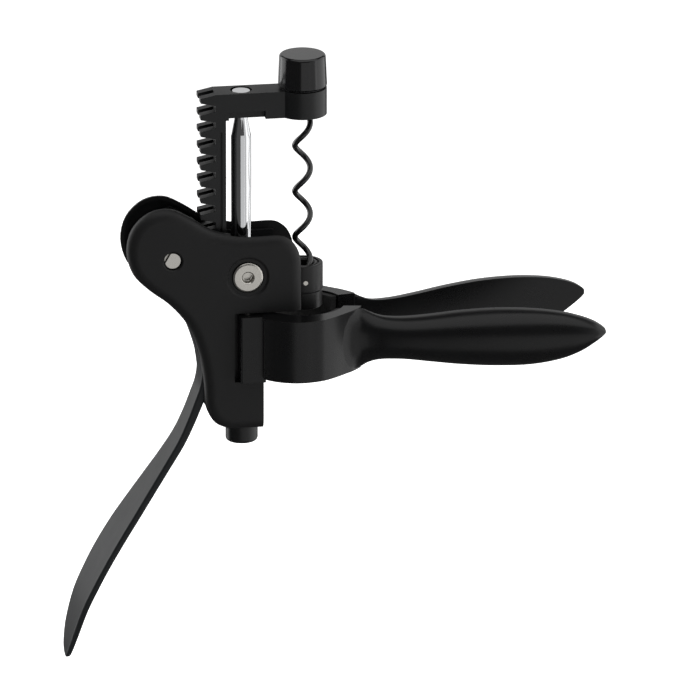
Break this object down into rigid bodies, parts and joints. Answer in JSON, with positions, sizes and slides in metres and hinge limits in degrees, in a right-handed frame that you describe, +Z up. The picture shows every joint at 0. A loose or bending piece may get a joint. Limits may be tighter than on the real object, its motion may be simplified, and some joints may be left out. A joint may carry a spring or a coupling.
{
  "type": "lever corkscrew",
  "caption": "Geared-lever corkscrew: a curved lever drives a rack carriage and worm through a nut above two hinged neck-gripping handles.",
  "frame": {"origin": "on the worm axis at mid-height of the jaws that grip the bottle neck", "axes": "+X from the lever side towards the grips, +Y to the left of +X, +Z up along the worm axis"},
  "size_m": [0.2189, 0.0636, 0.2531],
  "materials": {
    "cast_frame": "satin black die casting",
    "cover_abs": "soft-touch black",
    "chrome_steel": "polished chrome",
    "bright_steel": "turned bright",
    "gear_metal": "sintered steel",
    "lever_alloy": "satin dark grey paint",
    "bronze": "oiled bronze",
    "carriage_alloy": "satin black coating",
    "worm_coating": "black non-stick coating",
    "cap_gloss": "glossy black",
    "nut_black": "satin black acetal",
    "handle_black": "satin-gloss black",
    "pad_rubber": "matte rubber"
  },
  "bodies": {
    "body": {"main_frame": "cast_frame", "rod_cup": "cast_frame", "front_cover": "cover_abs", "rear_cover": "cover_abs", "front_cover_screw": "chrome_steel", "rear_cover_screw": "chrome_steel", "gear_axle": "bright_steel", "front_hinge_pin": "bright_steel", "rear_hinge_pin": "bright_steel", "latch_pin": "bright_steel", "latch_spring": "bright_steel"},
    "latch": {"nut_latch": "gear_metal"},
    "lever_arm": {"lever": "lever_alloy", "front_gear": "gear_metal", "rear_gear": "gear_metal", "gear_rivets": "bright_steel", "gear_bush": "bronze"},
    "carriage": {"rack_carriage": "carriage_alloy", "guide_rod": "chrome_steel", "rod_screw": "chrome_steel", "worm_bush": "bronze"},
    "washer": {"thrust_washer": "bright_steel"},
    "worm_and_cap": {"worm": "worm_coating", "worm_cap": "cap_gloss"},
    "nut_unit": {"nut_block": "cast_frame", "drive_nut": "nut_black", "stop_ring": "nut_black", "drive_pins": "bright_steel"},
    "front_grip": {"front_handle": "handle_black", "front_jaw_pad": "pad_rubber"},
    "rear_grip": {"rear_handle": "handle_black", "rear_jaw_pad": "pad_rubber"}
  },
  "joints": [
    {"name": "lever_swing", "type": "hinge", "parent": "body", "child": "lever_arm", "pos_m": [-0.055, 0, 0.037], "axis": [0, -1, 0], "range_deg": [-225, 0]},
    {"name": "carriage_slide", "type": "slide", "parent": "body", "child": "carriage", "axis": [0, 0, 1], "range_m": [-0.0576, 0]},
    {"name": "worm_turn", "type": "hinge", "parent": "carriage", "child": "washer", "pos_m": [0, 0, 0.105], "axis": [0, 0, 1], "range_deg": [-1064, 0]},
    {"name": "nut_slide", "type": "slide", "parent": "body", "child": "nut_unit", "axis": [0, 0, 1], "range_m": [0, 0.0574]},
    {"name": "worm_back_turn", "type": "hinge", "parent": "washer", "child": "worm_and_cap", "pos_m": [0, 0, 0.105], "axis": [0, 0, 1], "range_deg": [-1064, 0]},
    {"name": "front_handle_swing", "type": "hinge", "parent": "body", "child": "front_grip", "pos_m": [-0.0245, -0.0094, 0], "axis": [0, 0, -1], "range_deg": [-9.5, 20]},
    {"name": "rear_handle_swing", "type": "hinge", "parent": "body", "child": "rear_grip", "pos_m": [-0.0245, 0.0094, 0], "axis": [0, 0, 1], "range_deg": [-9.5, 20]},
    {"name": "latch_swing", "type": "hinge", "parent": "body", "child": "latch", "pos_m": [-0.0169, 0, 0.008], "axis": [0, -1, 0], "range_deg": [0, 9], "stiffness_Nm_per_rad": 0.02, "springref_deg": -11.46, "deforming": ["latch_spring"]}
  ],
  "couplings": [
    {"joint": "carriage_slide", "follows": "lever_swing", "m_per_rad": 0.014625},
    {"joint": "worm_turn", "follows": "lever_swing", "ratio": 4.7124},
    {"joint": "worm_back_turn", "follows": "nut_slide", "rad_per_m": -322.21}
  ]
}
